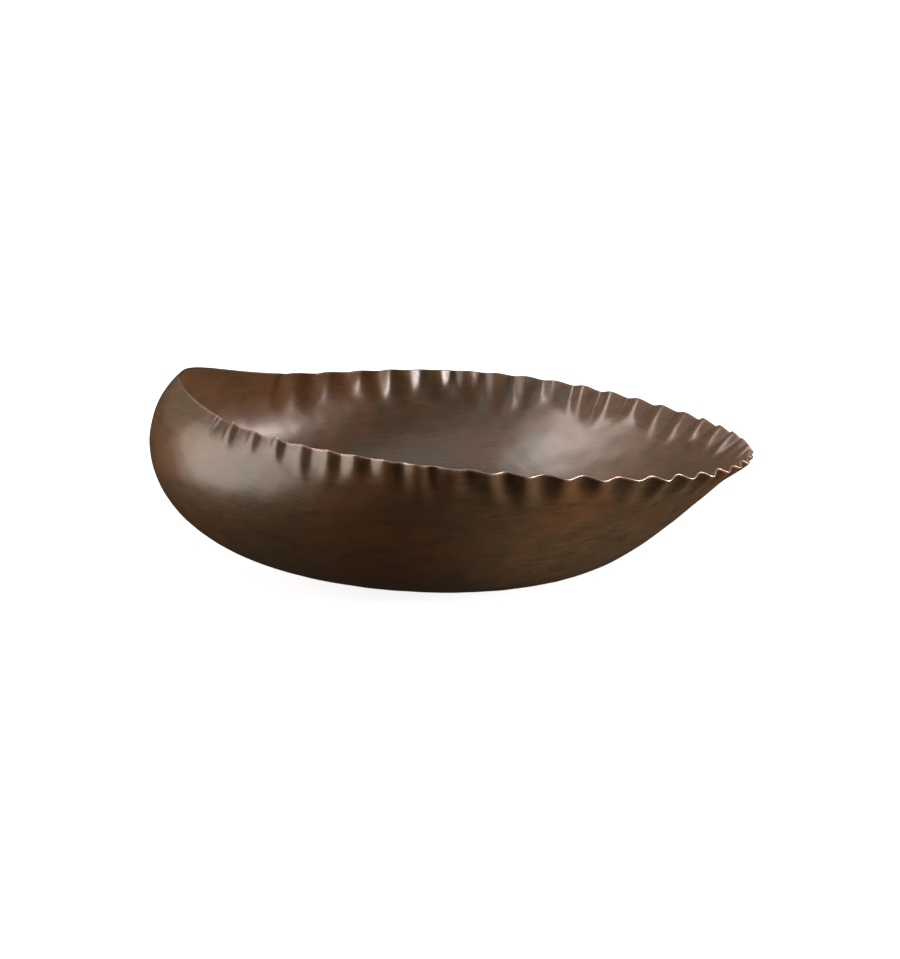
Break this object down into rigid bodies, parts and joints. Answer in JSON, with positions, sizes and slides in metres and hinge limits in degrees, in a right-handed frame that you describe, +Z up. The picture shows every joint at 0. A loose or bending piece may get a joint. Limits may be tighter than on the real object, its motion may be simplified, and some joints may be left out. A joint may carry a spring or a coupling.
{
  "type": "bowl",
  "caption": "Dark patinated copper centrepiece bowl with a crimped ruffled rim, one side rising into a smooth nose that curls inward, the opposite side low and flared.",
  "frame": {"origin": "on the table plane the four pads rest on, under the middle of the bowl's outline seen from above", "axes": "+X towards the low flared side, -X towards the tall nose, +Y to the side seen beyond the bowl, +Z up"},
  "size_m": [0.4566, 0.399, 0.1536],
  "materials": {
    "copper": "satin, dark brown patina over copper, rim edge worn bright",
    "felt": "matt felt"
  },
  "bodies": {
    "root": {"bowl_shell": "copper", "felt_pad_1": "felt", "felt_pad_2": "felt", "felt_pad_3": "felt", "felt_pad_4": "felt"}
  },
  "joints": []
}
